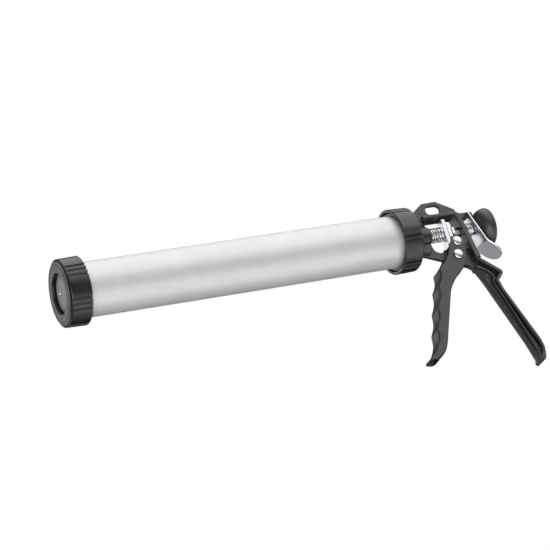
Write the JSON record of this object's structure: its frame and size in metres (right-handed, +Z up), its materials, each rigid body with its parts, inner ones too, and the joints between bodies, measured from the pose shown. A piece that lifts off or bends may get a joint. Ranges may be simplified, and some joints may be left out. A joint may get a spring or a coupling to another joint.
{
  "type": "caulking gun",
  "caption": "Closed-barrel caulking gun for foil packs: screw caps, hexagonal push rod with piston, thrust trigger and release plate on a cast frame with a fixed handle.",
  "frame": {"origin": "middle of the bottom of the bounding box, below the barrel near the foot of the handle", "axes": "+X from the barrel outlet back to the rod knob, +Y across the gun, +Z up through the hang slot"},
  "size_m": [0.4806, 0.0674, 0.1959],
  "materials": {
    "casting": "black powder coat, satin with a fine grain",
    "trigger_casting": "black powder coat, satin with a fine grain",
    "ring_plastic": "moulded black, satin",
    "knob_plastic": "moulded black, satin",
    "barrel_aluminium": "drawn and satin anodised",
    "zinc_steel": "bright zinc plate",
    "rod_steel": "bright drawn steel, zinc plated",
    "rivet_chrome": "bright plated",
    "spring_chrome": "bright plated wire",
    "piston_grey": "moulded grey nylon",
    "bush_nylon": "natural nylon",
    "seal_rubber": "matt black"
  },
  "bodies": {
    "frame": {"main_frame": "casting", "end_plug": "ring_plastic", "plug_nut": "zinc_steel", "rod_bush": "bush_nylon", "pivot_bush": "zinc_steel", "pivot_rivet": "rivet_chrome", "drive_spring": "spring_chrome", "release_spring": "spring_chrome"},
    "rear_ring": {"rear_ring": "ring_plastic"},
    "barrel": {"barrel_tube": "barrel_aluminium", "front_collar": "ring_plastic", "rear_collar": "ring_plastic"},
    "cap_seal": {"cap_seal": "seal_rubber"},
    "front_cap": {"front_cap": "ring_plastic"},
    "rod": {"push_rod": "rod_steel", "rod_knob": "knob_plastic", "piston_disc": "piston_grey", "piston_cup": "seal_rubber", "piston_back_plate": "zinc_steel", "piston_nut": "zinc_steel", "piston_screw": "rivet_chrome"},
    "trigger": {"trigger": "trigger_casting", "drive_rivet": "rivet_chrome", "drive_roller": "zinc_steel"},
    "drive_plates": {"drive_plate_front": "zinc_steel", "drive_plate_rear": "zinc_steel", "plate_spacer": "zinc_steel"},
    "release_plate": {"release_plate": "zinc_steel"}
  },
  "joints": [
    {"name": "trigger_pivot", "type": "hinge", "parent": "frame", "child": "trigger", "pos_m": [0.18294, 0, 0.1299], "axis": [0, -1, 0], "range_deg": [0, 25], "stiffness_Nm_per_rad": 0.5, "springref_deg": -34.38},
    {"name": "drive_slide", "type": "slide", "parent": "frame", "child": "drive_plates", "axis": [-1, 0, 0], "range_m": [0, 0.0068], "deforming": ["drive_spring"]},
    {"name": "release_hinge", "type": "hinge", "parent": "frame", "child": "release_plate", "pos_m": [0.21214, 0, 0.1716], "axis": [0, 1, 0], "range_deg": [0, 5], "stiffness_Nm_per_rad": 1, "springref_deg": -11.46, "deforming": ["release_spring"]},
    {"name": "rod_slide", "type": "slide", "parent": "frame", "child": "rod", "axis": [1, 0, 0], "range_m": [0, 0.325]},
    {"name": "ring_turn", "type": "hinge", "parent": "frame", "child": "rear_ring", "pos_m": [0.12974, 0, 0.1584], "axis": [1, 0, 0], "range_deg": [0, 720]},
    {"name": "barrel_travel", "type": "slide", "parent": "frame", "child": "barrel", "axis": [-1, 0, 0], "range_m": [0, 0.0081]},
    {"name": "cap_travel", "type": "slide", "parent": "barrel", "child": "cap_seal", "axis": [-1, 0, 0], "range_m": [0, 0.0081]},
    {"name": "cap_turn", "type": "hinge", "parent": "cap_seal", "child": "front_cap", "pos_m": [-0.22926, 0, 0.1584], "axis": [-1, 0, 0], "range_deg": [0, 720]}
  ],
  "couplings": [
    {"joint": "drive_slide", "follows": "trigger_pivot", "m_per_rad": 0.0151},
    {"joint": "barrel_travel", "follows": "ring_turn", "m_per_rad": 0.00063662},
    {"joint": "cap_travel", "follows": "cap_turn", "m_per_rad": 0.00063662}
  ]
}
